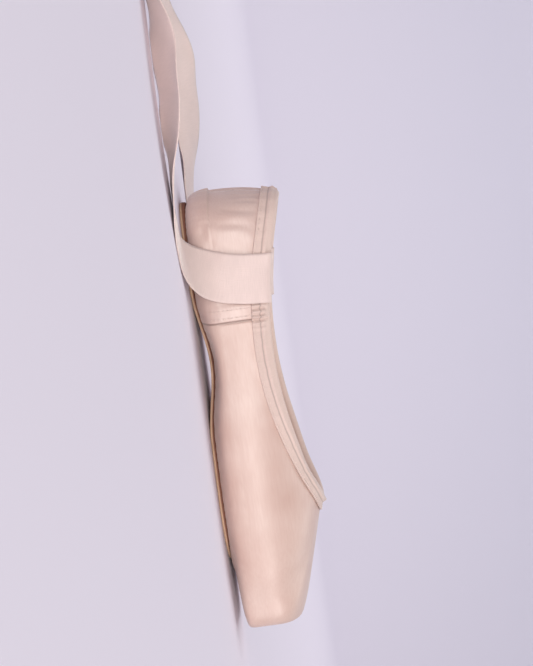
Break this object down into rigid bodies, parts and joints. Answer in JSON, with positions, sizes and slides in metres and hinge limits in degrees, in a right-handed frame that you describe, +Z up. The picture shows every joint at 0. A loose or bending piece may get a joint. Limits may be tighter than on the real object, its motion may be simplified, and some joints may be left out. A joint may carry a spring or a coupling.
{
  "type": "pointe shoe",
  "caption": "Satin pointe shoe for ballet, empty and unbent, with a stiff toe box, a flat platform, a leather outsole, a bound collar and two ankle ribbons.",
  "frame": {"origin": "on the floor, under the middle of the shoe's length and width, with the ribbons and the drawstring left out", "axes": "+X towards the toe, +Y towards the shoe's left side and +Z up"},
  "size_m": [0.4628, 0.165, 0.0533],
  "materials": {
    "satin": "satin",
    "sole_leather": "matte",
    "canvas": "matte",
    "binding_tape": "matte",
    "cotton_cord": "matte",
    "ribbon": "satin"
  },
  "bodies": {
    "root": {"upper": "satin", "outsole": "sole_leather", "insole": "canvas", "binding": "binding_tape", "drawstring": "cotton_cord", "ribbon_left": "ribbon", "ribbon_right": "ribbon"}
  },
  "joints": []
}
